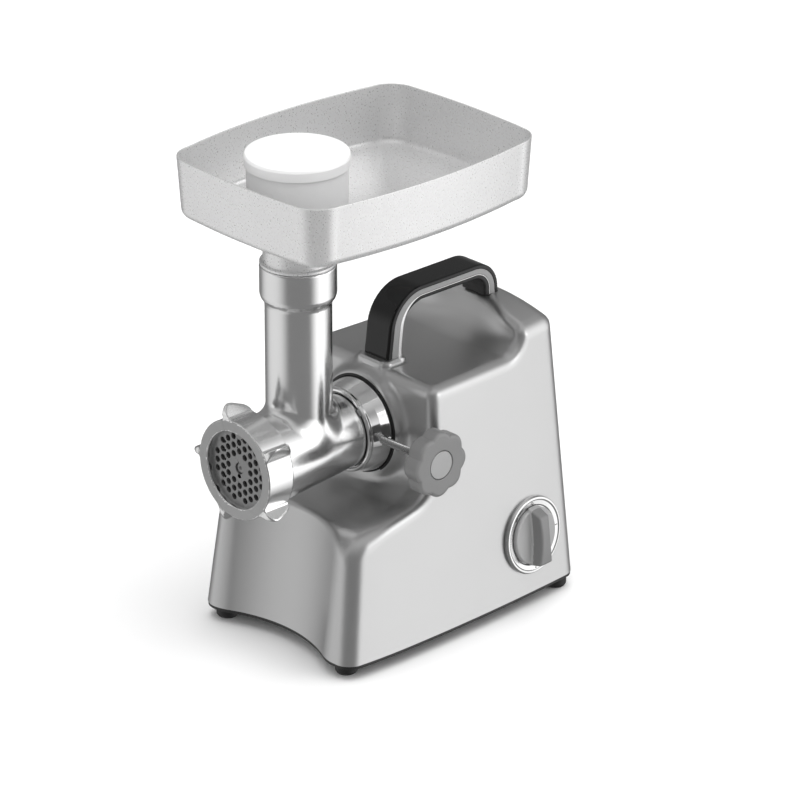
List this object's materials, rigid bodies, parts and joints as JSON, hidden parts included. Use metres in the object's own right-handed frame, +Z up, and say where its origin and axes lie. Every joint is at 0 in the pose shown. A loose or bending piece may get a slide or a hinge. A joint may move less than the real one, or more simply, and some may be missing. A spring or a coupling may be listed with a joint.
{
  "type": "electric meat grinder",
  "caption": "Countertop electric meat grinder: silver casing, carry handle, removable chrome grinding head, wide feed tray, pusher, star clamp knob and speed dial.",
  "frame": {"origin": "bottom centre of the bounding box of the whole grinder, on the floor plane; the middle of the four feet is at (-3.75, 16.8, 0) mm and the auger axis crosses x = -3.75 mm, z = 150.7 mm", "axes": "-Y towards the grinding plate (front), +X towards the star knob and the dial, +Z up"},
  "size_m": [0.1794, 0.2702, 0.3746],
  "materials": {
    "casing": "satin metallic silver",
    "black_plastic": "fine matte",
    "black_gloss": "gloss",
    "grey_inlay": "satin",
    "rubber": "matte",
    "fastener_steel": "zinc plated",
    "bright_ring": "polished",
    "knob_grey": "satin",
    "knob_disc": "satin",
    "dark_plastic": "matte",
    "board_green": "solder mask",
    "lamination": "stacked sheet",
    "copper": "enamelled copper",
    "carbon": "carbon",
    "brass": "bare",
    "steel": "machined",
    "nylon": "natural nylon",
    "bronze": "sintered",
    "diecast": "as cast",
    "head_metal": "polished",
    "chrome": "polished",
    "seal_black": "matte",
    "auger_cast": "tumbled",
    "plate_steel": "ground",
    "knife_steel": "ground",
    "tray_metal": "satin brushed",
    "pusher_grey": "translucent",
    "pusher_white": "satin"
  },
  "bodies": {
    "root": {"housing_shell": "casing", "base_plate": "black_plastic", "feet": "rubber", "foot_screws": "fastener_steel", "base_screws": "fastener_steel", "handle_shell": "black_gloss", "handle_inlays": "grey_inlay", "handle_core": "black_plastic", "handle_screws": "fastener_steel", "cord_inlet": "rubber", "dial_bezel": "bright_ring", "rotary_switch": "dark_plastic", "switch_nut": "fastener_steel", "control_board": "board_green", "board_screws": "fastener_steel", "motor_stator": "lamination", "field_coils": "copper", "brushes": "carbon", "brush_holders": "brass", "motor_rear_bracket": "diecast", "motor_bearings": "steel", "motor_spacers": "fastener_steel", "motor_bolts": "fastener_steel", "gear_bushes": "bronze", "output_bearings": "steel", "gearbox_case": "diecast", "gearbox_cover": "diecast", "gearbox_screws": "fastener_steel", "hub_collar": "chrome", "hub_seal": "seal_black", "hub_screws": "fastener_steel"},
    "selector": {"selector_knob": "knob_grey", "selector_shaft": "steel"},
    "rotor": {"rotor_core": "lamination", "rotor_shaft": "steel", "commutator": "copper", "motor_fan": "dark_plastic", "motor_pinion": "steel"},
    "first_shaft": {"gear_one": "nylon", "pinion_shaft_one": "steel"},
    "second_shaft": {"gear_two": "steel", "pinion_shaft_two": "steel"},
    "drive_output": {"output_gear": "steel", "output_shaft": "steel"},
    "head": {"head_casting": "head_metal", "head_key": "steel", "auger_washer": "nylon", "grinding_plate": "plate_steel", "plate_key": "steel"},
    "auger": {"auger": "auger_cast", "knife": "knife_steel"},
    "ring_nut": {"ring_nut": "head_metal"},
    "clamp_screw": {"clamp_screw": "steel"},
    "star_knob": {"star_knob": "knob_grey", "star_knob_cap": "knob_disc"},
    "tray": {"tray": "tray_metal"},
    "pusher": {"pusher_body": "pusher_grey"},
    "pusher_lid": {"pusher_cap": "pusher_white"}
  },
  "joints": [
    {"name": "selector_turn", "type": "hinge", "parent": "root", "child": "selector", "pos_m": [0.07085, 0.0848, 0.056], "axis": [0.9938, 0.0712, 0.0857], "range_deg": [-180, 45]},
    {"name": "output_spin", "type": "hinge", "parent": "root", "child": "drive_output", "pos_m": [-0.00375, 0.0168, 0.1507], "axis": [0, 1, 0], "continuous": true},
    {"name": "second_shaft_spin", "type": "hinge", "parent": "root", "child": "second_shaft", "pos_m": [-0.00375, 0.0168, 0.1117], "axis": [0, 1, 0], "continuous": true},
    {"name": "first_shaft_spin", "type": "hinge", "parent": "root", "child": "first_shaft", "pos_m": [0.01795, 0.0168, 0.08585], "axis": [0, 1, 0], "continuous": true},
    {"name": "rotor_spin", "type": "hinge", "parent": "root", "child": "rotor", "pos_m": [-0.00375, 0.0168, 0.06587], "axis": [0, 1, 0], "continuous": true},
    {"name": "head_pull_off", "type": "slide", "parent": "root", "child": "head", "axis": [0, -1, 0], "range_m": [0, 0.06]},
    {"name": "auger_spin", "type": "hinge", "parent": "head", "child": "auger", "pos_m": [-0.00375, 0.0168, 0.1507], "axis": [0, 1, 0], "continuous": true},
    {"name": "ring_nut_turn", "type": "hinge", "parent": "head", "child": "ring_nut", "pos_m": [-0.00375, 0.0168, 0.1507], "axis": [0, -1, 0], "range_deg": [0, 1080]},
    {"name": "clamp_screw_travel", "type": "slide", "parent": "root", "child": "clamp_screw", "axis": [1, 0, 0], "range_m": [0, 0.006]},
    {"name": "star_knob_turn", "type": "hinge", "parent": "clamp_screw", "child": "star_knob", "pos_m": [0.08275, -0.0232, 0.1507], "axis": [1, 0, 0], "range_deg": [0, 1800]},
    {"name": "tray_lift_off", "type": "slide", "parent": "head", "child": "tray", "axis": [0, 0, 1], "range_m": [0, 0.06]},
    {"name": "pusher_slide", "type": "slide", "parent": "tray", "child": "pusher", "axis": [0, 0, 1], "range_m": [0, 0.15]},
    {"name": "pusher_lid_lift_off", "type": "slide", "parent": "pusher", "child": "pusher_lid", "axis": [0, 0, 1], "range_m": [0, 0.03]}
  ],
  "couplings": [
    {"joint": "second_shaft_spin", "follows": "output_spin", "ratio": -3.3333},
    {"joint": "first_shaft_spin", "follows": "output_spin", "ratio": 11.667},
    {"joint": "rotor_spin", "follows": "output_spin", "ratio": -50.909},
    {"joint": "auger_spin", "follows": "output_spin", "ratio": 1},
    {"joint": "clamp_screw_travel", "follows": "star_knob_turn", "m_per_rad": 0.00015915}
  ]
}
